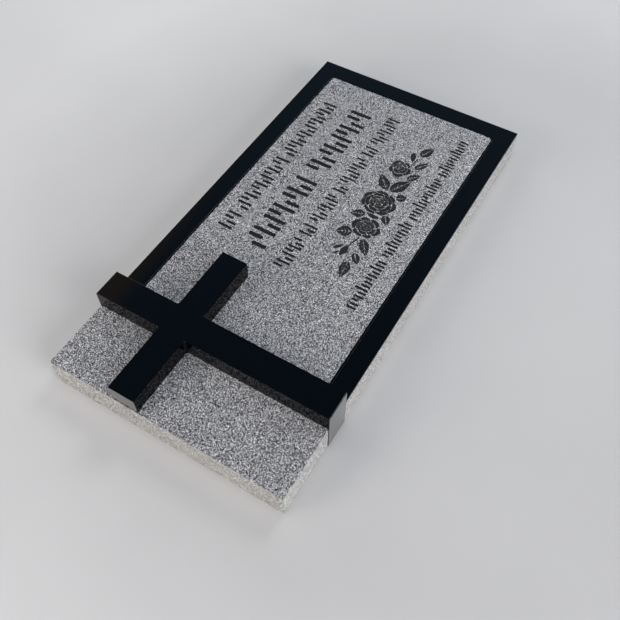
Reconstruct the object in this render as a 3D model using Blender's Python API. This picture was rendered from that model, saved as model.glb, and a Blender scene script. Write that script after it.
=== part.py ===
# Flat granite headstone, landscape, lying on its underside.
# A grey granite slab carries a polished black border round three sides of its panel and a polished
# black cross laid over it, whose long beam turns down both long sides to the ground.
# Metres, +Z up. X runs from the cross to the far end, along the carved rows, and Y up across the rows.
# The origin is the middle of the underside.

import math

import bmesh
import bpy
from mathutils import Matrix, Vector

# Slab
SLAB_LENGTH = 0.610
SLAB_WIDTH = 0.305
SLAB_THICKNESS = 0.042

# Clearance between pieces that touch, and how close two places are when they are the same one
GAP = 0.0003
SAME_PLACE = 0.00003

# Steps in a rounded corner and in a softened edge
FILLET_STEPS = 4
ARRIS_STEPS = 2
FLAT_ANGLE = math.radians(1)   # faces that meet at less than this are one face

# Cross
CROSS_CENTRE_X = -0.1985
CROSS_CENTRE_Y = 0.0471
CROSS_LONG_WIDTH = 0.0362      # the long beam, along Y
CROSS_SHORT_WIDTH = 0.0344     # the short beam, along X
CROSS_RISE = 0.024             # height above the slab
CROSS_HALF_BAR = 0.1055        # half the short beam, along X
CROSS_OVERHANG = 0.0012        # how far the long beam stands out past the slab's sides
CROSS_LEG = 0.020              # how deep each turned-down end goes into the slab's side
CROSS_FILLET = 0.003           # inner corners
CROSS_ARRIS = 0.0005           # the softened outer edges

# Border
BORDER_SIDE_WIDTH = 0.0266     # the two long bars
BORDER_END_WIDTH = 0.0282      # the bar across the far end
BORDER_THICKNESS = 0.003
BORDER_FILLET = 0.004          # the panel's corners
BORDER_ARRIS = 0.0005
REBATE_UNDER_CROSS = 0.002     # how far the rebate runs on under the cross

# Carving
STROKE_DEPTH = 0.0012
STROKE_CLEAR = 0.0003          # how far a stroke's cutter stands above the slab
STROKE_SIDES = 6
FLOWER_DEPTH = 0.0010
PETAL_RIM_POINTS = 5
PETAL_ROOT_POINTS = 3
PETAL_DROOP = 0.25             # how far a petal's rim falls back at its ends, as a share of its depth
HEART_SIDES = 8
LEAF_POINTS = 6
LEAF_FULLNESS = 0.8            # below 1, a leaf is widest nearer its stem
LAND = 0.0009                  # stone left standing between petals and along a leaf's midrib
CARVING_CENTRE_X = 0.0900

# Rows of strokes: baseline, height of a tall stroke, width of a stroke, distance between strokes,
# space between groups, and the number of strokes in each group.
STROKE_ROWS = (
    {"base": 0.0885, "height": 0.0215, "width": 0.0041, "pitch": 0.0076, "space": 0.0140,
     "groups": (4, 14, 16)},
    {"base": 0.0350, "height": 0.0330, "width": 0.0063, "pitch": 0.0112, "space": 0.0260,
     "groups": (12, 12)},
    {"base": -0.0040, "height": 0.0200, "width": 0.0035, "pitch": 0.0066, "space": 0.0125,
     "groups": (8, 3, 8, 2, 8, 3, 9)},
    {"base": -0.1040, "height": 0.0185, "width": 0.0034, "pitch": 0.0059, "space": 0.0118,
     "groups": (14, 11, 14, 13)},
)

# Where each stroke stands, in turn along a row: its foot and its top as shares of the row's height.
# All stand upright, side by side, so that none joins its neighbour into a letter.
STROKE_FORMS = ((0.00, 1.00), (0.00, 0.64), (0.36, 1.00), (0.00, 1.00), (0.00, 0.60), (0.00, 1.00),
                (0.40, 1.00))
LOW_ROW_FORMS = ((0.00, 0.72), (0.00, 0.60), (0.00, 1.00), (0.00, 0.72), (0.00, 0.66), (0.20, 0.72))

# Rose spray, each place measured from the slab's middle: roses as centre, radius and turn in degrees.
ROSES = (
    {"centre": (0.0920, -0.0472), "radius": 0.0220, "turn": 20, "rings": (3, 4, 6)},
    {"centre": (0.0450, -0.0542), "radius": 0.0168, "turn": 65, "rings": (3, 5)},
    {"centre": (0.1590, -0.0440), "radius": 0.0153, "turn": -35, "rings": (2, 4)},
)
ROSE_HEART = 0.17              # radius of the closed heart, as a share of the rose's radius

# Leaves as the stem end, the direction of the tip in degrees, the length and the width.
LEAVES = (
    (-0.0115, -0.0605, 190, 0.0270, 0.0130),
    (0.0025, -0.0610, 223, 0.0177, 0.0095),
    (0.0280, -0.0595, 214, 0.0266, 0.0110),
    (0.0320, -0.0430, 114, 0.0220, 0.0160),
    (0.0610, -0.0445, 100, 0.0205, 0.0125),
    (0.0670, -0.0620, 86, 0.0180, 0.0068),
    (0.0765, -0.0635, 217, 0.0180, 0.0085),
    (0.1160, -0.0465, 42, 0.0310, 0.0150),
    (0.1170, -0.0505, 328, 0.0310, 0.0165),
    (0.1070, -0.0640, 310, 0.0155, 0.0100),
    (0.1465, -0.0610, 322, 0.0190, 0.0095),
    (0.1690, -0.0590, 324, 0.0222, 0.0092),
    (0.1800, -0.0535, 25, 0.0188, 0.0070),
    (0.1945, -0.0575, 344, 0.0250, 0.0120),
    (0.0090, -0.0490, 176, 0.0205, 0.0082),
    (0.0085, -0.0450, 142, 0.0160, 0.0050),
)

# Stems from end to end
STEMS = (
    {"start": (0.0110, -0.0495), "end": (0.0270, -0.0555), "width": 0.0020},
    {"start": (0.1710, -0.0550), "end": (0.1925, -0.0570), "width": 0.0014},
)


def clear_scene():
    for existing in list(bpy.data.objects):
        bpy.data.objects.remove(existing, do_unlink=True)


def make_material(name, colour, roughness):
    material = bpy.data.materials.new(name)
    material.use_nodes = True
    shader = material.node_tree.nodes["Principled BSDF"]
    shader.inputs["Base Color"].default_value = (*colour, 1.0)
    shader.inputs["Roughness"].default_value = roughness
    shader.inputs["Metallic"].default_value = 0.0
    material.diffuse_color = (*colour, 1.0)
    return material


def make_object(name, bm, material=None):
    mesh = bpy.data.meshes.new(name)
    bmesh.ops.recalc_face_normals(bm, faces=bm.faces[:])
    bm.to_mesh(mesh)
    bm.free()
    made = bpy.data.objects.new(name, mesh)
    bpy.context.scene.collection.objects.link(made)
    if material:
        mesh.materials.append(material)
    return made


def make_cutter(name, bm):
    cutter = make_object(name, bm)
    cutter.hide_render = True
    cutter.display_type = "WIRE"
    return cutter


def subtract(target, cutter):
    cut = target.modifiers.new(cutter.name, "BOOLEAN")
    cut.operation = "DIFFERENCE"
    cut.solver = "EXACT"
    cut.object = cutter


def add_face(bm, corners, z):
    """A flat face through corners given as (x, y), sharing corners that are already there."""
    verts = []
    for x, y in corners:
        place = Vector((x, y, z))
        known = [vert for vert in bm.verts if (vert.co - place).length < SAME_PLACE]
        verts.append(known[0] if known else bm.verts.new(place))
    return bm.faces.new(verts)


def raise_faces(bm, faces, rise):
    """Extrude faces along Z, and give back the moved faces."""
    grown = bmesh.ops.extrude_face_region(bm, geom=faces)["geom"]
    moved = [item for item in grown if isinstance(item, bmesh.types.BMVert)]
    bmesh.ops.translate(bm, verts=moved, vec=(0, 0, rise))
    return [item for item in grown if isinstance(item, bmesh.types.BMFace)]


def round_corners(bm, places, radius):
    """Round the flat outline's corners at the given (x, y) places."""
    corners = [vert for vert in bm.verts
               if any((vert.co.xy - Vector(place)).length < SAME_PLACE for place in places)]
    bmesh.ops.bevel(bm, geom=corners, offset=radius, offset_type="OFFSET", segments=FILLET_STEPS,
                    profile=0.5, affect="VERTICES")


def add_box(bm, low, high):
    size = Vector(high) - Vector(low)
    middle = (Vector(high) + Vector(low)) / 2
    bmesh.ops.create_cube(bm, size=1.0, matrix=Matrix.Translation(middle) @ Matrix.Diagonal((*size, 1)))


def cross_sides():
    left = CROSS_CENTRE_X - CROSS_LONG_WIDTH / 2
    return left, left + CROSS_LONG_WIDTH


def build_cross(material):
    """One block: a long beam with turned-down ends and a short beam, with softened edges."""
    left, right = cross_sides()
    foot, head = CROSS_CENTRE_X - CROSS_HALF_BAR, CROSS_CENTRE_X + CROSS_HALF_BAR
    low, high = CROSS_CENTRE_Y - CROSS_SHORT_WIDTH / 2, CROSS_CENTRE_Y + CROSS_SHORT_WIDTH / 2
    end = SLAB_WIDTH / 2 + CROSS_OVERHANG
    shoulder = SLAB_WIDTH / 2 - CROSS_LEG
    underside = SLAB_THICKNESS + GAP
    top = SLAB_THICKNESS + CROSS_RISE

    bm = bmesh.new()
    add_face(bm, [(left, -shoulder), (right, -shoulder), (right, low), (head, low), (head, high),
                  (right, high), (right, shoulder), (left, shoulder), (left, high), (foot, high),
                  (foot, low), (left, low)], underside)
    add_face(bm, [(left, -end), (right, -end), (right, -shoulder), (left, -shoulder)], underside)
    add_face(bm, [(left, shoulder), (right, shoulder), (right, end), (left, end)], underside)
    round_corners(bm, [(left, low), (right, low), (right, high), (left, high)], CROSS_FILLET)
    raise_faces(bm, bm.faces[:], top - underside)
    bmesh.ops.recalc_face_normals(bm, faces=bm.faces[:])

    leg_faces = [face for face in bm.faces
                 if face.calc_center_median().z < underside + SAME_PLACE
                 and abs(face.calc_center_median().y) > shoulder]
    raise_faces(bm, leg_faces, -underside)
    bmesh.ops.delete(bm, geom=leg_faces, context="FACES_ONLY")
    bmesh.ops.dissolve_limit(bm, angle_limit=FLAT_ANGLE, verts=bm.verts[:], edges=bm.edges[:])
    bmesh.ops.recalc_face_normals(bm, faces=bm.faces[:])

    def shows(edge):
        ends = [vert.co for vert in edge.verts]
        on_top = all(place.z > top - GAP for place in ends)
        upright = abs(ends[0].z - ends[1].z) > GAP
        outside = all(abs(place.y) > end - GAP or place.x < foot + GAP or place.x > head - GAP
                      for place in ends)
        return on_top or (upright and outside)

    bmesh.ops.bevel(bm, geom=[edge for edge in bm.edges if shows(edge)], offset=CROSS_ARRIS,
                    offset_type="OFFSET", segments=ARRIS_STEPS, profile=0.5, affect="EDGES",
                    clamp_overlap=True)
    return make_object("cross", bm, material)


def border_face(bm, start, grow, reach, z):
    """The border's flat U from start to the far end.

    grow widens its bars inward, and reach moves its outer edges out from the slab's.
    """
    side = SLAB_WIDTH / 2 + reach
    far = SLAB_LENGTH / 2 + reach
    panel_side = SLAB_WIDTH / 2 - BORDER_SIDE_WIDTH - grow
    panel_far = SLAB_LENGTH / 2 - BORDER_END_WIDTH - grow
    add_face(bm, [(start, -side), (far, -side), (far, side), (start, side), (start, panel_side),
                  (panel_far, panel_side), (panel_far, -panel_side), (start, -panel_side)], z)
    round_corners(bm, [(panel_far, panel_side), (panel_far, -panel_side)], BORDER_FILLET)


def build_border(material):
    """One U-shaped plate, flush with the slab's top and sides, its ends against the cross."""
    start = cross_sides()[1] + GAP
    bm = bmesh.new()
    border_face(bm, start, 0, 0, SLAB_THICKNESS - BORDER_THICKNESS)
    raise_faces(bm, bm.faces[:], BORDER_THICKNESS)
    rim = [edge for edge in bm.edges
           if all(vert.co.z > SLAB_THICKNESS - GAP for vert in edge.verts)
           and not all(vert.co.x < start + GAP for vert in edge.verts)]
    bmesh.ops.bevel(bm, geom=rim, offset=BORDER_ARRIS, offset_type="OFFSET", segments=ARRIS_STEPS,
                    profile=0.5, affect="EDGES", clamp_overlap=True)
    return make_object("black_border", bm, material)


def rebate_cutter():
    start = cross_sides()[1] - REBATE_UNDER_CROSS
    bm = bmesh.new()
    border_face(bm, start, GAP, CROSS_LEG, SLAB_THICKNESS - BORDER_THICKNESS - GAP)
    raise_faces(bm, bm.faces[:], BORDER_THICKNESS * 2)
    return make_cutter("rebate_cutter", bm)


def notch_cutter():
    left, right = cross_sides()
    inner = SLAB_WIDTH / 2 - CROSS_LEG - GAP
    outer = SLAB_WIDTH / 2 + CROSS_LEG
    bm = bmesh.new()
    for near, far in ((inner, outer), (-outer, -inner)):
        add_box(bm, (left - GAP, near, -CROSS_LEG), (right + GAP, far, SLAB_THICKNESS + CROSS_LEG))
    return make_cutter("notch_cutter", bm)


def row_length(row):
    strokes = sum(row["groups"])
    groups = len(row["groups"])
    return (strokes - groups) * row["pitch"] + (groups - 1) * row["space"]


def add_stroke(bm, x, foot, top, width):
    """A pit with pointed ends, deepest in its middle, as one chisel stroke leaves it."""
    bottom = SLAB_THICKNESS - STROKE_DEPTH
    depth = STROKE_DEPTH + STROKE_CLEAR
    place = Matrix.Translation((x, (foot + top) / 2, bottom + depth / 2))
    shape = Matrix.Diagonal((width / 2, (top - foot) / 2, 1, 1))
    bmesh.ops.create_cone(bm, cap_ends=True, segments=STROKE_SIDES, radius1=0, radius2=1, depth=depth,
                          matrix=place @ shape)


def add_stroke_rows(bm):
    for number, row in enumerate(STROKE_ROWS):
        forms = LOW_ROW_FORMS if number == len(STROKE_ROWS) - 1 else STROKE_FORMS
        x = CARVING_CENTRE_X - row_length(row) / 2
        count = number
        for group in row["groups"]:
            for _ in range(group):
                foot, top = [row["base"] + share * row["height"] for share in forms[count % len(forms)]]
                add_stroke(bm, x, foot, top, row["width"])
                x += row["pitch"]
                count += 1
            x += row["space"] - row["pitch"]


def add_pocket(bm, outline):
    """A flat-bottomed pocket in the slab's top, inside an outline given as (x, y)."""
    floor = add_face(bm, outline, SLAB_THICKNESS - FLOWER_DEPTH)
    raise_faces(bm, [floor], FLOWER_DEPTH * 2)


def steps(first, last, count):
    return [first + (last - first) * step / (count - 1) for step in range(count)]


def around(centre, radius, angle):
    return centre[0] + radius * math.cos(angle), centre[1] + radius * math.sin(angle)


def add_petal(bm, centre, inner, outer, turn, spread):
    """A petal between two radii, spread either side of its turn, fullest in the middle of its rim."""
    spread -= LAND / (inner + outer)
    rim = [around(centre, outer - LAND - PETAL_DROOP * (outer - inner) * share ** 2, turn + share * spread)
           for share in steps(-1, 1, PETAL_RIM_POINTS)]
    root = [around(centre, inner, turn + share * spread) for share in steps(1, -1, PETAL_ROOT_POINTS)]
    add_pocket(bm, rim + root)


def add_rose(bm, rose):
    heart = rose["radius"] * ROSE_HEART
    turn = math.radians(rose["turn"])
    add_pocket(bm, [around(rose["centre"], heart - LAND, math.tau * side / HEART_SIDES)
                    for side in range(HEART_SIDES)])
    step = (rose["radius"] - heart) / len(rose["rings"])
    for ring, petals in enumerate(rose["rings"]):
        spread = math.pi / petals
        for petal in range(petals):
            add_petal(bm, rose["centre"], heart + ring * step, heart + (ring + 1) * step,
                      turn + (2 * petal + ring) * spread, spread)


def add_leaf(bm, x, y, turn, length, width):
    """A pointed leaf in two halves, with the midrib left standing."""
    along = Vector((math.cos(math.radians(turn)), math.sin(math.radians(turn))))
    for side in (1, -1):
        across = along.orthogonal() * side
        edge = [LAND / 2 + math.sin(math.pi * share ** LEAF_FULLNESS) * (width - LAND) / 2
                for share in steps(0, 1, LEAF_POINTS)]
        add_pocket(bm, [Vector((x, y)) + along * length * share + across * reach
                        for share, reach in zip(steps(0, 1, LEAF_POINTS), edge)])


def add_stem(bm, start, end, width):
    start, end = Vector(start), Vector(end)
    across = (end - start).orthogonal().normalized() * width / 2
    add_pocket(bm, [start - across, end - across, end + across, start + across])


def carving_cutter():
    bm = bmesh.new()
    add_stroke_rows(bm)
    for rose in ROSES:
        add_rose(bm, rose)
    for leaf in LEAVES:
        add_leaf(bm, *leaf)
    for stem in STEMS:
        add_stem(bm, **stem)
    return make_cutter("carving_cutter", bm)


def build_slab(material):
    """The grey block, less the border's rebate, the cross's notches and the carving."""
    bm = bmesh.new()
    add_box(bm, (-SLAB_LENGTH / 2, -SLAB_WIDTH / 2, 0), (SLAB_LENGTH / 2, SLAB_WIDTH / 2, SLAB_THICKNESS))
    slab = make_object("granite_slab", bm, material)
    for cutter in (rebate_cutter(), notch_cutter(), carving_cutter()):
        subtract(slab, cutter)
    return slab


def main():
    clear_scene()
    granite = make_material("grey_granite", (0.27, 0.27, 0.28), 0.25)
    black = make_material("black_granite", (0.008, 0.009, 0.011), 0.06)
    build_slab(granite)
    build_border(black)
    build_cross(black)


main()
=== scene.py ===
# Flat granite headstone: stone finishes, fine carving, floor, light and camera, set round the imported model.
# Metres, Z up. X runs from the cross to the far end, along the carved rows, and Y up across the rows.
import math

import bmesh
import bpy
from mathutils import Matrix, Quaternion, Vector


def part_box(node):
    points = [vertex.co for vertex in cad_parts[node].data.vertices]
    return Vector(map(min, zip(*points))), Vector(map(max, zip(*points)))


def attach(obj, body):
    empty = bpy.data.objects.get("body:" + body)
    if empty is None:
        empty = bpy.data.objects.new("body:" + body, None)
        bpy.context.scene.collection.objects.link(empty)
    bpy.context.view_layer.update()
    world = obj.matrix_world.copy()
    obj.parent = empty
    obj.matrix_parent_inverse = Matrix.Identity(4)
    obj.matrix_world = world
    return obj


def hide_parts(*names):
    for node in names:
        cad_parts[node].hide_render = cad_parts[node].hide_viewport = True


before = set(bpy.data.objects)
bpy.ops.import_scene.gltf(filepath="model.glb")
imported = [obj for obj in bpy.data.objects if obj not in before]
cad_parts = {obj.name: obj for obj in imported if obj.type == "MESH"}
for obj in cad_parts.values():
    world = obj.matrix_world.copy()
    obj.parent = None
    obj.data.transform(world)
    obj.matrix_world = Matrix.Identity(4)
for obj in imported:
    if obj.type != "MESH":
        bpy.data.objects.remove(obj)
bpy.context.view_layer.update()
scene = bpy.context.scene
scene.view_settings.view_transform = "Standard"
slabLow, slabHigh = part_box("granite_slab")
crossLow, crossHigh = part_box("cross")
borderLow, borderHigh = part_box("black_border")
slabTop = slabHigh.z
sameSpot = 0.00002  # corners this close together are one
nearFace = 0.0003  # a corner this close to a face lies on it
past = 0.01  # how far a cutter reaches past the stone
print("frame loaded:", ", ".join(sorted(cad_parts)))


# Mesh helpers

def evenSteps(first, last, count):
    return [first + (last - first) * step / (count - 1) for step in range(count)]


def around(centre, radius, angle):
    return Vector(centre) + Vector((math.cos(angle), math.sin(angle))) * radius


# A flat face at height z. Corners that are already there are shared.
def flatFace(bm, corners, z):
    verts = []
    for corner in corners:
        place = Vector((corner[0], corner[1], z))
        known = [vert for vert in bm.verts if (vert.co - place).length < sameSpot]
        verts.append(known[0] if known else bm.verts.new(place))
    return bm.faces.new(verts)


def liftFaces(bm, faces, rise):
    grown = bmesh.ops.extrude_face_region(bm, geom=faces)["geom"]
    moved = [item for item in grown if isinstance(item, bmesh.types.BMVert)]
    bmesh.ops.translate(bm, verts=moved, vec=(0, 0, rise))


def roundCorners(bm, places, radius, steps):
    corners = [vert for vert in bm.verts
               if any((vert.co.xy - Vector(place)).length < sameSpot for place in places)]
    bmesh.ops.bevel(bm, geom=corners, offset=radius, offset_type="OFFSET", segments=steps, profile=0.5,
                    material=-1, affect="VERTICES")


def softenEdges(bm, edges, width, steps):
    bmesh.ops.bevel(bm, geom=edges, offset=width, offset_type="OFFSET", segments=steps, profile=0.5,
                    material=-1, affect="EDGES", clamp_overlap=True)


def makePiece(bm, name, materials):
    bmesh.ops.recalc_face_normals(bm, faces=bm.faces[:])
    mesh = bpy.data.meshes.new(name)
    bm.to_mesh(mesh)
    bm.free()
    for material in materials:
        mesh.materials.append(material)
    piece = bpy.data.objects.new(name, mesh)
    scene.collection.objects.link(piece)
    return piece


# Cuts a shape out of a piece and removes the cutter. The cut faces take the cutter's finish.
def cutAway(piece, cutter):
    cut = piece.modifiers.new("cut", "BOOLEAN")
    cut.operation = "DIFFERENCE"
    cut.solver = "EXACT"
    cut.material_mode = "TRANSFER"
    cut.object = cutter
    graph = bpy.context.evaluated_depsgraph_get()
    cutMesh = bpy.data.meshes.new_from_object(piece.evaluated_get(graph))
    piece.modifiers.clear()
    piece.data = cutMesh
    bpy.data.objects.remove(cutter)


def placePiece(piece, node):
    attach(piece, "root")
    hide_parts(node)
    print(piece.name, len(piece.data.polygons), "faces")


# Finishes

class Nodes:
    # Helpers that add and join the nodes of a material or of the world
    def __init__(self, tree):
        self.tree = tree

    def add(self, kind, inputs=None, **settings):
        node = self.tree.nodes.new(kind)
        for key, value in settings.items():
            setattr(node, key, value)
        for key, value in (inputs or {}).items():
            self.fill(node.inputs[key], value)
        return node

    def fill(self, socket, value):
        if isinstance(value, bpy.types.NodeSocket):
            self.tree.links.new(value, socket)
        else:
            socket.default_value = value

    def ramp(self, value, stops, smooth=False):
        node = self.add("ShaderNodeValToRGB", {"Fac": value})
        node.color_ramp.interpolation = "LINEAR" if smooth else "CONSTANT"
        points = node.color_ramp.elements
        while len(points) < len(stops):
            points.new(1.0)
        for point, (position, colour) in zip(points, stops):
            point.position = position
            point.color = (*colour, 1)
        return node.outputs["Color"]

    def spread(self, value, low, high, start=0.0, stop=1.0):
        node = self.add("ShaderNodeMapRange", {"Value": value, "From Min": start, "From Max": stop,
                                               "To Min": low, "To Max": high})
        return node.outputs["Result"]

    def vector(self, operation, first, second):
        node = self.add("ShaderNodeVectorMath", {0: first, 1: second}, operation=operation)
        return node.outputs["Value" if operation in ("DISTANCE", "DOT_PRODUCT") else "Vector"]

    def mix(self, share, first, second, blend="MIX"):
        node = self.add("ShaderNodeMix", {0: share}, data_type="RGBA", blend_type=blend)
        self.fill(node.inputs[6], first)
        self.fill(node.inputs[7], second)
        return node.outputs[2]


class Finish(Nodes):
    # A material, whose patterns lie in Object coordinates
    def __init__(self, name):
        self.material = bpy.data.materials.new(name)
        self.material.use_nodes = True
        super().__init__(self.material.node_tree)
        self.shader = self.tree.nodes["Principled BSDF"]
        self.place = self.add("ShaderNodeTexCoord").outputs["Object"]

    def join(self, output, socket):
        self.tree.links.new(output, self.shader.inputs[socket])

    def noise(self, scale, detail=2.0):
        found = self.add("ShaderNodeTexNoise", {"Vector": self.place, "Scale": scale, "Detail": detail})
        return found.outputs[0]

    # Two random numbers for each crystal, over crystals of the given size in metres
    def crystals(self, size, place=None):
        cells = self.add("ShaderNodeTexVoronoi", {"Vector": place or self.place, "Scale": 1 / size})
        parts = self.add("ShaderNodeSeparateColor", {"Color": cells.outputs["Color"]})
        return parts.outputs["Red"], parts.outputs["Green"]

    # Soft darker and lighter clouds over a colour
    def clouded(self, colour, kind):
        start, stop = kind["cloudEdges"]
        cloud = self.ramp(self.noise(kind["cloudScale"], kind["cloudDetail"]),
                          [(start, kind["cloudDark"]), (stop, kind["cloudLight"])], smooth=True)
        return self.mix(1.0, colour, cloud, "MULTIPLY")


# Grey granite, polished on top and sawn on the sides, where it is paler, and grittier at the two ends. Each
# tone starts at a share of the crystals, "dark" and "light" are the shares of flecks, "paintedLightDrift" is
# the painted light at the two ends, a brightness that stands in for light falling off along the slab, and
# "tall" is how much longer the crystals are upright.
greyGranite = {
    "darkFleck": (0.024, 0.026, 0.032, 1), "lightFleck": (0.74, 0.74, 0.73, 1), "wobble": 900.0,
    "cloudScale": 14.0, "cloudDetail": 3.0, "cloudEdges": (0.3, 0.7),
    "cloudDark": (0.960, 0.950, 0.932), "cloudLight": (1.035, 1.026, 1.006),
    "polished": {"name": "granitePolished", "crystal": 0.00062, "fleck": 0.00043, "tall": 1.0, "dark": 0.13,
                 "light": 0.07, "roughness": (0.16, 0.30), "paintedLightDrift": (1.005, 1.052),
                 "tones": [(0.0, (0.008, 0.010, 0.015)), (0.35, (0.050, 0.052, 0.065)),
                           (0.51, (0.150, 0.148, 0.161)), (0.665, (0.345, 0.341, 0.351)),
                           (0.795, (0.900, 0.888, 0.876))]},
    "sawn": {"name": "graniteSawn", "crystal": 0.00058, "fleck": 0.00044, "tall": 2.0, "dark": 0.06,
             "light": 0.06, "roughness": (0.42, 0.60), "paintedLightDrift": (1.045, 1.012),
             "tones": [(0.0, (0.180, 0.173, 0.165)), (0.28, (0.330, 0.320, 0.307)),
                       (0.55, (0.580, 0.567, 0.545)), (0.79, (0.985, 0.962, 0.925))]},
}
greyGranite["sawnEnd"] = dict(greyGranite["sawn"], name="graniteSawnEnd", tones=[
    (0.0, (0.092, 0.088, 0.084)), (0.33, (0.368, 0.357, 0.343)),
    (0.57, (0.712, 0.695, 0.668)), (0.72, (0.995, 0.970, 0.930))])


def greyGraniteFinish(surface):
    stone = Finish(surface["name"])
    along = stone.add("ShaderNodeSeparateXYZ", {"Vector": stone.place}).outputs["X"]
    wobble = stone.add("ShaderNodeTexNoise", {"Vector": stone.place, "Scale": greyGranite["wobble"],
                                              "Detail": 1.0})
    shift = stone.vector("MULTIPLY", wobble.outputs["Color"], [surface["fleck"] / 2] * 3)
    place = stone.vector("ADD", stone.vector("MULTIPLY", stone.place, (1, 1, 1 / surface["tall"])), shift)
    crystal = stone.crystals(surface["crystal"], place)[0]
    fleck, sheen = stone.crystals(surface["fleck"], place)
    colour = stone.ramp(crystal, surface["tones"])
    dark = stone.ramp(fleck, [(0.0, (1, 1, 1)), (surface["dark"], (0, 0, 0))])
    light = stone.ramp(fleck, [(0.0, (0, 0, 0)), (1 - surface["light"], (1, 1, 1))])
    colour = stone.mix(dark, colour, greyGranite["darkFleck"])
    colour = stone.mix(light, colour, greyGranite["lightFleck"])
    # Painted light: the stone's colour is made brighter towards one end, standing in for light falling off
    # along the slab.
    paintedLightDrift = stone.spread(along, *surface["paintedLightDrift"], slabLow.x, slabHigh.x)
    colour = stone.mix(1.0, stone.clouded(colour, greyGranite), paintedLightDrift, "MULTIPLY")
    stone.join(colour, "Base Color")
    stone.join(stone.spread(sheen, *surface["roughness"]), "Roughness")
    return stone.material


# Black granite: mirror-polished tops, duller walls, ends with a waxed sheen, and a paler ground arris. The
# crystals are of the base's colour, then of a paler one and of a fleck's from the two shares on.
blackGranite = {
    "crystal": 0.0014, "base": (0.0003, 0.0004, 0.0005), "fleck": (0.0016, 0.0018, 0.0021),
    "shares": (0.86, 0.97), "paler": 3,
    "top": {"name": "blackTop", "roughness": (0.03, 0.05), "reflection": 0.50, "sheen": 0.0},
    "wall": {"name": "blackWall", "roughness": (0.01, 0.02), "reflection": 0.16, "sheen": 0.0},
    "end": {"name": "blackEnd", "roughness": (0.06, 0.12), "reflection": 0.50, "sheen": 0.84},
    "foot": {"name": "blackFoot", "roughness": (0.06, 0.12), "reflection": 0.50, "sheen": 0.66},
    "arris": {"name": "blackArris", "roughness": (0.35, 0.50), "reflection": 0.30, "sheen": 0.0,
              "base": (0.054, 0.052, 0.050)},
}


def blackGraniteFinish(surface):
    stone = Finish(surface["name"])
    crystal, gloss = stone.crystals(blackGranite["crystal"])
    base = surface.get("base", blackGranite["base"])
    pale = [part * blackGranite["paler"] for part in base]
    paleStart, fleckStart = blackGranite["shares"]
    colour = stone.ramp(crystal, [(0.0, base), (paleStart, pale), (fleckStart, blackGranite["fleck"])])
    stone.join(colour, "Base Color")
    stone.join(stone.spread(gloss, *surface["roughness"]), "Roughness")
    stone.shader.inputs["Specular IOR Level"].default_value = surface["reflection"]
    stone.shader.inputs["Coat Weight"].default_value = surface["sheen"]
    return stone.material


# Dark paint in the cuts, full in places and thin where the stone shows through
cutPaint = {
    "patchScale": 900.0, "patchDetail": 3.0, "patchEdges": (0.42, 0.72), "smearScale": 300.0,
    "roughness": (0.60, 0.85), "reflection": 0.2,
    "dark": {"name": "cutPaintDark", "full": (0.006, 0.0059, 0.0057), "thin": (0.018, 0.0176, 0.0172)},
    "leaf": {"name": "cutPaintLeaf", "full": (0.011, 0.0108, 0.0105), "thin": (0.030, 0.0295, 0.029)},
    "soft": {"name": "cutPaintSoft", "full": (0.030, 0.030, 0.031), "thin": (0.070, 0.070, 0.073)},
}


def cutPaintFinish(coat):
    paint = Finish(coat["name"])
    start, stop = cutPaint["patchEdges"]
    patch = paint.ramp(paint.noise(cutPaint["patchScale"], cutPaint["patchDetail"]),
                       [(start, coat["full"]), (stop, coat["thin"])], smooth=True)
    paint.join(patch, "Base Color")
    paint.join(paint.spread(paint.noise(cutPaint["smearScale"]), *cutPaint["roughness"]), "Roughness")
    paint.shader.inputs["Specular IOR Level"].default_value = cutPaint["reflection"]
    return paint.material


stoneGrey = greyGraniteFinish(greyGranite["polished"])
stoneSawn = greyGraniteFinish(greyGranite["sawn"])
stoneSawnEnd = greyGraniteFinish(greyGranite["sawnEnd"])
stoneBlack = blackGraniteFinish(blackGranite["top"])
stoneBlackWall = blackGraniteFinish(blackGranite["wall"])
stoneBlackEnd = blackGraniteFinish(blackGranite["end"])
stoneBlackFoot = blackGraniteFinish(blackGranite["foot"])
stoneBlackArris = blackGraniteFinish(blackGranite["arris"])
cutDark = cutPaintFinish(cutPaint["dark"])
cutLeaf = cutPaintFinish(cutPaint["leaf"])
cutSoft = cutPaintFinish(cutPaint["soft"])
print("finishes made")


# Rows of strokes: baseline, height of a tall stroke, width, distance between strokes, space between groups,
# and the number of strokes in each group. They are separate chisel cuts, and spell nothing. A form says
# where a stroke starts and ends, as shares of the height, and the last row has its own forms.
strokes = {
    "centreX": 0.0900, "depth": 0.0012, "proud": 0.0003, "shoulder": 0.90, "floor": 0.60,
    "rows": [
        {"base": 0.0885, "height": 0.0215, "width": 0.0041, "pitch": 0.0076, "space": 0.0140,
         "groups": (4, 14, 16)},
        {"base": 0.0350, "height": 0.0330, "width": 0.0063, "pitch": 0.0112, "space": 0.0260,
         "groups": (12, 12)},
        {"base": -0.0040, "height": 0.0200, "width": 0.0035, "pitch": 0.0066, "space": 0.0125,
         "groups": (8, 3, 8, 2, 8, 3, 9)},
        {"base": -0.1040, "height": 0.0185, "width": 0.0034, "pitch": 0.0059, "space": 0.0118,
         "groups": (14, 11, 14, 13)},
    ],
    "forms": [(0.00, 1.00), (0.00, 0.64), (0.36, 1.00), (0.00, 1.00), (0.00, 0.60), (0.00, 1.00),
              (0.40, 1.00)],
    "lowForms": [(0.00, 0.72), (0.00, 0.60), (0.00, 1.00), (0.00, 0.72), (0.00, 0.66), (0.20, 0.72)],
}


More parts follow.
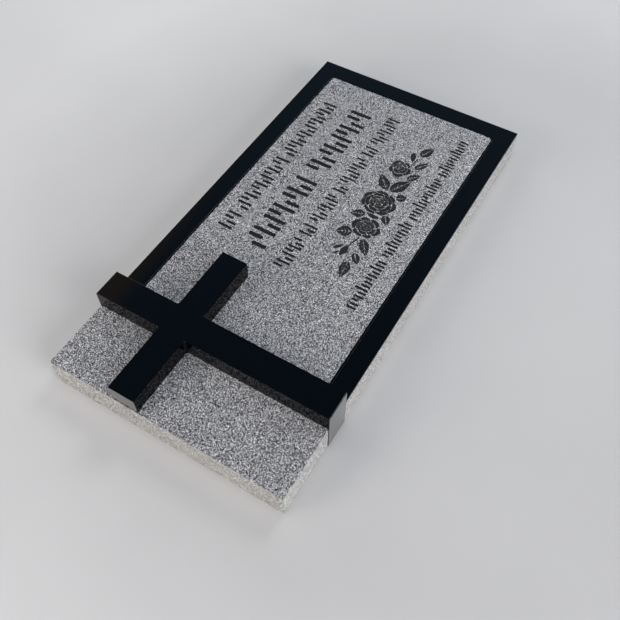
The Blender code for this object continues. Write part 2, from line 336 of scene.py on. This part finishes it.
# One chisel cut of six corners: pointed ends, sloping walls and a narrow floor
def addStroke(bm, x, foot, top, width):
    depth = strokes["depth"] + strokes["proud"]
    verts = bmesh.ops.create_cone(bm, cap_ends=True, segments=6, radius1=1, radius2=1, depth=depth)["verts"]
    for vert in verts:
        if abs(vert.co.y) < 0.75:  # a shoulder, not a tip
            vert.co.x = math.copysign(1, vert.co.x)
            vert.co.y = math.copysign(strokes["shoulder"], vert.co.y)
        if vert.co.z < 0:
            vert.co.x *= strokes["floor"]
            vert.co.y *= 1 - (1 - strokes["floor"]) * width / (top - foot)
    place = Matrix.Translation((x, (foot + top) / 2, slabTop - strokes["depth"] + depth / 2))
    size = Matrix.Diagonal((width / 2, (top - foot) / 2, 1, 1))
    bmesh.ops.transform(bm, matrix=place @ size, verts=verts)


def strokeCutter():
    bm = bmesh.new()
    for number, row in enumerate(strokes["rows"]):
        forms = strokes["lowForms"] if number == len(strokes["rows"]) - 1 else strokes["forms"]
        groups = row["groups"]
        length = (sum(groups) - len(groups)) * row["pitch"] + (len(groups) - 1) * row["space"]
        x = strokes["centreX"] - length / 2
        count = number  # so each row starts with another form
        for group in groups:
            for _ in range(group):
                foot, top = [row["base"] + share * row["height"] for share in forms[count % len(forms)]]
                addStroke(bm, x, foot, top, row["width"])
                x += row["pitch"]
                count += 1
            x += row["space"] - row["pitch"]
    return makePiece(bm, "strokeCutter", [cutDark])


# Rose spray, in metres from the slab's middle. Leaves and buds: stem end, direction in degrees, length and
# width. A rose's rings are the petals in each, from the heart out, and its heart lies off the middle by
# "heartShift". "land" is the bare stone left between cuts.
spray = {
    "depth": 0.0010, "land": 0.0003, "heart": 0.13, "heartSides": 12, "uneven": 0.13, "unevenPace": 2.3,
    "lean": 0.10, "leanSteps": 7, "shade": 0.48, "droop": 0.28, "fold": 0.34, "outerDroop": 0.50,
    "outerFold": 0.22,
    "petalEnds": (0.005, 0.995), "petalSteps": 13, "creases": (4, 8), "creaseReach": 0.85, "softRings": 2,
    "roses": [
        {"centre": (0.0918, -0.0483), "radius": 0.0212, "tall": 1.13, "turn": 20,
         "heartShift": (0.0012, 0.0008), "rings": (3, 4, 5, 7)},
        {"centre": (0.0466, -0.0541), "radius": 0.0176, "tall": 1.13, "turn": 65,
         "heartShift": (-0.0012, -0.0004), "rings": (3, 4, 6)},
        {"centre": (0.1599, -0.0440), "radius": 0.0160, "tall": 0.95, "turn": -35,
         "heartShift": (0.0036, 0.0010), "rings": (2, 4, 5)},
    ],
    "leaves": [
        (-0.0115, -0.0610, 187, 0.0275, 0.0135), (0.0035, -0.0615, 219, 0.0190, 0.0105),
        (0.0285, -0.0595, 215, 0.0276, 0.0130), (0.0325, -0.0425, 116, 0.0215, 0.0180),
        (0.0665, -0.0428, 114, 0.0205, 0.0135), (0.0768, -0.0652, 213, 0.0172, 0.0120),
        (0.1165, -0.0465, 41, 0.0300, 0.0160), (0.1170, -0.0505, 330, 0.0340, 0.0180),
        (0.1088, -0.0637, 309, 0.0155, 0.0125), (0.1465, -0.0605, 322, 0.0205, 0.0110),
        (0.1695, -0.0600, 324, 0.0222, 0.0105), (0.1945, -0.0570, 338, 0.0252, 0.0145),
    ],
    "buds": [(0.0110, -0.0494, 174, 0.0208, 0.0084), (0.0086, -0.0433, 144, 0.0154, 0.0048),
             (-0.0035, -0.0435, 150, 0.0080, 0.0030), (0.0672, -0.0620, 87, 0.0190, 0.0062),
             (0.1800, -0.0525, 20, 0.0190, 0.0078)],
    "stems": [((0.0122, -0.0497), (0.0272, -0.0547), 0.0020),
              ((0.1735, -0.0545), (0.1890, -0.0565), 0.0016)],
    "rib": 0.0006, "veins": (0.18, 0.36, 0.54), "veinReach": 0.70, "veinSlant": 0.17, "veinWidth": 0.030,
    "belly": 0.8, "teeth": 7, "toothTop": 0.75, "toothDepth": 0.08, "budSteps": 9,
}


def onFloor(bm, outline):
    return [bm.verts.new((spot.x, spot.y, slabTop - spray["depth"])) for spot in outline]


def addPocket(bm, outline, paint=0):
    floor = bm.faces.new(onFloor(bm, outline))
    floor.material_index = paint
    liftFaces(bm, [floor], spray["depth"] * 2)


def onRose(rose, radius, angle):
    spot = around((0, 0), radius, angle) + Vector(rose["heartShift"]) * (1 - radius / rose["radius"])
    return Vector(rose["centre"]) + Vector((spot.x, spot.y * rose["tall"]))


# Where each petal of a ring starts and ends, uneven as in a real flower
def petalSpans(rose, ring):
    petals = rose["rings"][ring]
    start = math.radians(rose["turn"]) + ring
    edges = []
    for petal in range(petals):
        shift = spray["uneven"] * math.sin(spray["unevenPace"] * petal + ring)
        edges.append(start + math.tau / petals * (petal + shift))
    return list(zip(edges, edges[1:] + [edges[0] + math.tau]))


# Radius of a ring's rim. Each petal falls back to both ends, more to one, as if tucked under its neighbour.
def rimRadius(rose, ring, angle):
    rings = len(rose["rings"])
    outermost = ring == rings - 1
    droop = spray["outerDroop"] if outermost else spray["droop"]
    fold = spray["outerFold"] if outermost else spray["fold"]
    fall = ring + 1
    for first, last in petalSpans(rose, ring) if ring >= 0 else ():
        along = (angle - first) % math.tau / (last - first)
        if along < 1:
            fall = droop * (2 * along - 1) ** 2 + fold * (1 - along)
    return rose["radius"] * (spray["heart"] + (1 - spray["heart"]) * (ring + 1 - fall) / rings)


# A petal from the rim of the ring inside it out to its own. Its root is in shade, and two creases of bare
# stone run up from there.
def addPetal(bm, rose, ring, first, last):
    lean = spray["lean"]
    rim, middle, root = [], [], []
    for number, share in enumerate(evenSteps(*spray["petalEnds"], spray["petalSteps"])):
        angle = first + (last - first) * share
        outer = rimRadius(rose, ring, angle)
        inside = [rimRadius(rose, ring - 1, angle + turn)
                  for turn in evenSteps(-2 * lean, lean, spray["leanSteps"])]
        inner = spray["land"] + max(inside)
        waist = inner + (outer - inner) * spray["shade"]
        pull = spray["land"] * (0.5 - share)
        rim.append(onRose(rose, outer, angle + pull / outer))
        middle.append(onRose(rose, waist, angle - lean * (1 - spray["shade"]) + pull / waist))
        angle += pull / inner - lean
        if number in spray["creases"]:
            crease = [(inner, -0.5), (inner + (waist - inner) * spray["creaseReach"], 0), (inner, 0.5)]
            root += [onRose(rose, radius, angle + side * spray["land"] / inner) for radius, side in crease]
        else:
            root.append(onRose(rose, inner, angle))
    rim, middle, root = [onFloor(bm, line) for line in (rim, middle, root)]
    floor = [bm.faces.new(rim + middle[::-1]), bm.faces.new(middle + root[::-1])]
    floor[0].material_index = 1 if ring < spray["softRings"] else 0
    liftFaces(bm, floor, spray["depth"] * 2)


def addRose(bm, rose):
    heart, sides = rose["radius"] * spray["heart"], spray["heartSides"]
    addPocket(bm, [onRose(rose, heart, math.tau * side / sides) for side in range(sides)], 1)
    for ring in range(len(rose["rings"])):
        for first, last in petalSpans(rose, ring):
            addPetal(bm, rose, ring, first, last)


# Half a leaf: its toothed edge out to the tip, and back along the midrib round the side veins
def addHalfLeaf(bm, base, along, across, length, width):
    def at(share, reach):
        return base + along * length * share + across * (spray["rib"] / 2 + reach)

    def reachAt(share):
        return math.sin(math.pi * share ** spray["belly"]) * (width - spray["rib"]) / 2

    outline = [at(0, 0)]
    for tooth in range(spray["teeth"]):
        for part, bite in ((spray["toothTop"], 0.0), (1.0, spray["toothDepth"])):
            share = (tooth + part) / spray["teeth"]
            if share < 1:
                outline.append(at(share, reachAt(share) * (1 - bite)))
    outline.append(at(1, 0))
    for vein in reversed(spray["veins"]):
        tip = vein + spray["veinSlant"]
        outline += [at(vein + spray["veinWidth"], 0), at(tip, reachAt(tip) * spray["veinReach"]),
                    at(vein, 0)]
    addPocket(bm, outline)


def addLeaf(bm, x, y, turn, length, width):
    along = around((0, 0), 1, math.radians(turn))
    for side in (1, -1):
        addHalfLeaf(bm, Vector((x, y)), along, along.orthogonal() * side, length, width)


def addBud(bm, x, y, turn, length, width):
    along = around((0, 0), length, math.radians(turn))
    across = along.orthogonal().normalized() * width / 2
    outline = [Vector((x, y)) + along * share + across * math.sin(math.pi * share) * side
               for side in (1, -1) for share in evenSteps(0, 1, spray["budSteps"])[::side][:-1]]
    addPocket(bm, outline)


def sprayCutter():
    bm = bmesh.new()
    for rose in spray["roses"]:
        addRose(bm, rose)
    for leaf in spray["leaves"]:
        addLeaf(bm, *leaf)
    for bud in spray["buds"]:
        addBud(bm, *bud)
    for start, end, width in spray["stems"]:
        start, end = Vector(start), Vector(end)
        across = (end - start).orthogonal().normalized() * width / 2
        addPocket(bm, [start - across, end - across, end + across, start + across])
    return makePiece(bm, "sprayCutter", [cutLeaf, cutSoft])


# Border: one plate round three sides of the panel. A fine step runs along the panel's long sides, with a
# wall that leans back.
border = {"bar": 0.0266, "endBar": 0.0282, "panelCorner": 0.004, "cornerSteps": 8,
          "arris": 0.00015, "arrisSteps": 2, "seam": 0.00005, "underCross": 0.002,
          "stepWidth": 0.0023, "stepDepth": 0.0002, "stepLean": 0.0002, "stepEnd": 0.0006}


# The border's outline, drawn wider by "grow" along the panel and by "reach" outside
def borderOutline(bm, start, grow, reach, z):
    side, far = borderHigh.y + reach, borderHigh.x + reach
    panelSide = borderHigh.y - border["bar"] - grow
    panelFar = borderHigh.x - border["endBar"] - grow
    flatFace(bm, [(start, -side), (far, -side), (far, side), (start, side), (start, panelSide),
                  (panelFar, panelSide), (panelFar, -panelSide), (start, -panelSide)], z)
    roundCorners(bm, [(panelFar, panelSide), (panelFar, -panelSide)], border["panelCorner"],
                 border["cornerSteps"])


def makeBorder():
    bm = bmesh.new()
    borderOutline(bm, borderLow.x, 0, 0, borderLow.z)
    liftFaces(bm, bm.faces[:], borderHigh.z - borderLow.z)
    rim = [edge for edge in bm.edges if all(vert.co.z > borderHigh.z - nearFace for vert in edge.verts)
           and not all(vert.co.x < borderLow.x + nearFace for vert in edge.verts)]
    softenEdges(bm, rim, border["arris"], border["arrisSteps"])
    piece = makePiece(bm, "blackBorder", [stoneBlack])
    cutAway(piece, stepCutter())
    return piece


# The panel's outline, wider by the step, and just short of the far bar. It rises twice the step's depth, so
# it leans twice as far.
def stepCutter():
    start, floor = borderLow.x - past, borderHigh.z - border["stepDepth"]
    side = borderHigh.y - border["bar"] + border["stepWidth"]
    far = borderHigh.x - border["endBar"] - border["stepEnd"]
    bm = bmesh.new()
    flatFace(bm, [(start, -side), (far, -side), (far, side), (start, side)], floor)
    roundCorners(bm, [(far, side), (far, -side)], border["panelCorner"], border["cornerSteps"])
    liftFaces(bm, bm.faces[:], 2 * border["stepDepth"])
    lean = 2 * border["stepLean"]
    bmesh.ops.scale(bm, vec=(1, 1 + lean / side, 1),
                    verts=[vert for vert in bm.verts if vert.co.z > borderHigh.z])
    bm.normal_update()
    for face in bm.faces:
        face.material_index = 1 if abs(face.normal.z) < 0.9 else 0  # the wall is ground
    return makePiece(bm, "stepCutter", [stoneBlack, stoneBlackArris])


def rebateCutter():
    bm = bmesh.new()
    borderOutline(bm, borderLow.x - border["underCross"], border["seam"], 2 * past,
                  borderLow.z - border["seam"])
    liftFaces(bm, bm.faces[:], slabTop - borderLow.z + past)
    return makePiece(bm, "rebateCutter", [stoneGrey])


# Cross: one block over the slab's face, with its long beam turned down both sides. The tops of the long
# beam's ends have a wider arris, which is ground.
cross = {"longWidth": 0.0362, "shortWidth": 0.0344, "centreX": -0.1985, "centreY": 0.0471, "leg": 0.020,
         "innerCorner": 0.003, "cornerSteps": 6, "arris": 0.00015, "arrisSteps": 2, "endArris": 0.0010,
         "seam": 0.00005}


def makeCross():
    left, right = cross["centreX"] - cross["longWidth"] / 2, cross["centreX"] + cross["longWidth"] / 2
    low, high = cross["centreY"] - cross["shortWidth"] / 2, cross["centreY"] + cross["shortWidth"] / 2
    foot, head, end = crossLow.x, crossHigh.x, crossHigh.y
    shoulder = slabHigh.y - cross["leg"]
    underside = slabTop + cross["seam"]
    bm = bmesh.new()
    flatFace(bm, [(left, -shoulder), (right, -shoulder), (right, low), (head, low), (head, high),
                  (right, high), (right, shoulder), (left, shoulder), (left, high), (foot, high),
                  (foot, low), (left, low)], underside)
    flatFace(bm, [(left, -end), (right, -end), (right, -shoulder), (left, -shoulder)], underside)
    flatFace(bm, [(left, shoulder), (right, shoulder), (right, end), (left, end)], underside)
    roundCorners(bm, [(left, low), (right, low), (right, high), (left, high)], cross["innerCorner"],
                 cross["cornerSteps"])
    liftFaces(bm, bm.faces[:], crossHigh.z - underside)
    bmesh.ops.recalc_face_normals(bm, faces=bm.faces[:])
    legs = [face for face in bm.faces if face.calc_center_median().z < underside + sameSpot
            and abs(face.calc_center_median().y) > shoulder]
    liftFaces(bm, legs, -underside)
    bmesh.ops.delete(bm, geom=legs, context="FACES_ONLY")
    bmesh.ops.dissolve_limit(bm, angle_limit=math.radians(1), verts=bm.verts[:], edges=bm.edges[:])
    bmesh.ops.recalc_face_normals(bm, faces=bm.faces[:])

    def onTop(place):
        return place.z > crossHigh.z - nearFace

    def atEnd(place):
        return abs(place.y) > end - nearFace

    def shows(edge):
        ends = [vert.co for vert in edge.verts]
        upright = abs(ends[0].z - ends[1].z) > nearFace
        outside = all(atEnd(place) or place.x < foot + nearFace or place.x > head - nearFace
                      for place in ends)
        return all(onTop(place) for place in ends) or (upright and outside)

    endTops = [edge for edge in bm.edges if all(onTop(vert.co) and atEnd(vert.co) for vert in edge.verts)]
    softenEdges(bm, endTops, cross["endArris"], 1)
    softenEdges(bm, [edge for edge in bm.edges if shows(edge)], cross["arris"], cross["arrisSteps"])
    bm.normal_update()
    for face in bm.faces:
        centre = face.calc_center_median()
        if abs(face.normal.z) < 0.3:  # a wall
            face.material_index = 2 if atEnd(centre) else 3 if centre.x < foot + nearFace else 1
        elif face.normal.z < 0.9 and abs(centre.y) > end - cross["endArris"]:  # a wide arris
            face.material_index = 4
    return makePiece(bm, "blackCross", [stoneBlack, stoneBlackWall, stoneBlackEnd, stoneBlackFoot,
                                        stoneBlackArris])


def notchCutter():
    left, right = cross["centreX"] - cross["longWidth"] / 2, cross["centreX"] + cross["longWidth"] / 2
    inner, outer = slabHigh.y - cross["leg"] - cross["seam"], slabHigh.y + past
    bm = bmesh.new()
    for side in (1, -1):
        flatFace(bm, [(left - cross["seam"], side * inner), (right + cross["seam"], side * inner),
                      (right + cross["seam"], side * outer), (left - cross["seam"], side * outer)], -past)
    liftFaces(bm, bm.faces[:], slabTop + 2 * past)
    return makePiece(bm, "notchCutter", [stoneSawn])


# Slab: the grey block, less the border's rebate, the cross's notches and the carving
slab = {"arris": 0.0003, "arrisSteps": 2}


def makeSlab():
    bm = bmesh.new()
    size = slabHigh - slabLow
    bmesh.ops.create_cube(bm, size=1, matrix=Matrix.Translation((slabLow + slabHigh) / 2)
                          @ Matrix.Diagonal((*size, 1)))
    softenEdges(bm, bm.edges[:], slab["arris"], slab["arrisSteps"])
    for face in bm.faces:  # top, ends, sides
        face.material_index = 0 if face.normal.z > 0.5 else 2 if abs(face.normal.x) > 0.5 else 1
    piece = makePiece(bm, "graniteSlab", [stoneGrey, stoneSawn, stoneSawnEnd])
    for cutter in (rebateCutter(), notchCutter(), strokeCutter(), sprayCutter()):
        cutAway(piece, cutter)
    return piece


placePiece(makeSlab(), "granite_slab")
placePiece(makeBorder(), "black_border")
placePiece(makeCross(), "cross")


# Floor and backdrop: a pale bowl, a little darker where the stone lies
studio = {"floorReach": 4.6, "flat": 0.5, "curve": 0.6, "curveSteps": 8, "wall": 2.0, "turns": 96,
          "middle": (0.06, -0.15, 0.0), "nearReach": 0.42, "farReach": 0.67,
          "near": (0.532, 0.517, 0.499), "far": (0.665, 0.648, 0.626),
          "cloudScale": 6.0, "cloudDetail": 4.0, "cloudEdges": (0.35, 0.65),
          "cloudDark": (0.985, 0.985, 0.985), "cloudLight": (1.015, 1.015, 1.015),
          "glossScale": 3.0, "roughness": (0.40, 0.55)}


def makeStudio():
    paper = Finish("studioPaper")
    tones = [(studio["nearReach"], studio["near"]), (studio["farReach"], studio["far"])]
    tone = paper.ramp(paper.vector("DISTANCE", paper.place, studio["middle"]), tones, smooth=True)
    paper.join(paper.clouded(tone, studio), "Base Color")
    paper.join(paper.spread(paper.noise(studio["glossScale"]), *studio["roughness"]), "Roughness")
    reach, curve, steps = studio["floorReach"], studio["curve"], studio["curveSteps"]
    bm = bmesh.new()
    profile = [(0, 0), (studio["flat"], 0), (reach, 0)]
    profile += [(reach + curve * math.sin(bend), curve - curve * math.cos(bend))
                for bend in evenSteps(math.pi / 2 / steps, math.pi / 2, steps)]
    profile.append((reach + curve, studio["wall"]))
    verts = [bm.verts.new((x, 0, z)) for x, z in profile]
    edges = [bm.edges.new(pair) for pair in zip(verts, verts[1:])]
    bmesh.ops.spin(bm, geom=verts + edges, axis=(0, 0, 1), cent=(0, 0, 0), dvec=(0, 0, 0), angle=math.tau,
                   steps=studio["turns"], use_merge=True)
    bmesh.ops.remove_doubles(bm, verts=bm.verts[:], dist=sameSpot)
    for face in bm.faces:
        face.smooth = True
    floor = makePiece(bm, "studioFloor", [paper.material])


makeStudio()

# Light: soft from all round, warm on the left and cool in front, under a dim cool ceiling. The two high
# softboxes stand where the black stone doesn't mirror them, and shade the foot of the cross.
lights = [
    {"name": "frontSoftbox", "at": (-0.95, -3.05, 1.60), "size": 2.0, "power": 84,
     "colour": (0.966, 0.968, 1.0)},
    {"name": "topSoftbox", "at": (-0.50, -0.40, 3.20), "size": 2.4, "power": 28,
     "colour": (0.973, 0.98, 1.0)},
    {"name": "leftSoftbox", "at": (-2.60, 1.90, 1.40), "size": 1.6, "power": 47,
     "colour": (1.0, 0.89, 0.825)},
    {"name": "backSoftbox", "at": (2.40, 2.40, 1.00), "size": 1.6, "power": 18,
     "colour": (1.0, 1.0, 0.98)},
    {"name": "highBackSoftbox", "at": (-0.41, 1.55, 2.05), "size": 1.2, "power": 8.2,
     "colour": (1.0, 0.99, 0.97)},
    {"name": "highRightSoftbox", "at": (1.69, -0.24, 2.03), "size": 0.9, "power": 16,
     "colour": (0.92, 0.95, 1.0)},
]
# Ceiling colours by the height looked at, from the horizon (0) to straight up (1)
ceiling = [(0.0, (0.30, 0.32, 0.34)), (0.30, (0.14, 0.20, 0.26)), (0.64, (0.080, 0.136, 0.200)),
           (0.90, (0.045, 0.076, 0.126)), (1.0, (0.038, 0.064, 0.108))]
# A dim warm beam across it, high up at the back. "slant" is the direction that its slopes are measured in,
# "edges" are the slopes at which it fades in and out, and "height" the heights between which it fades in.
off, on = (0, 0, 0), (1, 1, 1)
warmBeam = {"slant": (-0.07, 1.0, 0.0), "edges": [(0.582, off), (0.618, on), (0.645, on), (0.685, off)],
            "height": [(0.55, off), (0.65, on)], "colour": (0.207, 0.174, 0.152, 1)}


def makeLights():
    for light in lights:
        lamp = bpy.data.lights.new(light["name"], "AREA")
        lamp.shape = "SQUARE"
        lamp.size = light["size"]
        lamp.energy = light["power"]
        lamp.color = light["colour"]
        holder = bpy.data.objects.new(light["name"], lamp)
        holder.location = light["at"]
        holder.rotation_euler = (-Vector(light["at"])).to_track_quat("-Z", "Y").to_euler()
        scene.collection.objects.link(holder)
    world = bpy.data.worlds.new("studioCeiling")
    world.use_nodes = True
    sky = Nodes(world.node_tree)
    view = sky.add("ShaderNodeTexCoord").outputs["Generated"]
    height = sky.add("ShaderNodeSeparateXYZ", {"Vector": view}).outputs["Z"]
    along = sky.vector("DOT_PRODUCT", view, warmBeam["slant"])
    slope = sky.add("ShaderNodeMath", {0: along, 1: height}, operation="DIVIDE").outputs[0]
    beam = sky.mix(1.0, sky.ramp(slope, warmBeam["edges"], smooth=True),
                   sky.ramp(height, warmBeam["height"], smooth=True), "MULTIPLY")
    colour = sky.mix(beam, sky.ramp(height, ceiling, smooth=True), warmBeam["colour"])
    sky.fill(sky.tree.nodes["Background"].inputs["Color"], colour)
    scene.world = world


makeLights()

# Camera, at the photograph's place and angle
camera = {"at": (-0.51122, -0.30516, 0.74920), "look": (0.48389, 0.28831, -0.82627), "rollDegrees": 0.26,
          "fieldDegrees": 45.54, "sensorMillimetres": 36, "nearest": 0.01}


def makeCamera():
    lens = bpy.data.cameras.new("camera")
    lens.sensor_width = camera["sensorMillimetres"]
    lens.lens = lens.sensor_width / 2 / math.tan(math.radians(camera["fieldDegrees"] / 2))
    lens.clip_start = camera["nearest"]
    holder = bpy.data.objects.new("camera", lens)
    holder.location = camera["at"]
    roll = Quaternion((0, 0, 1), math.radians(camera["rollDegrees"]))
    holder.rotation_euler = (Vector(camera["look"]).to_track_quat("-Z", "Y") @ roll).to_euler()
    scene.collection.objects.link(holder)
    scene.camera = holder


makeCamera()
print("studio ready")
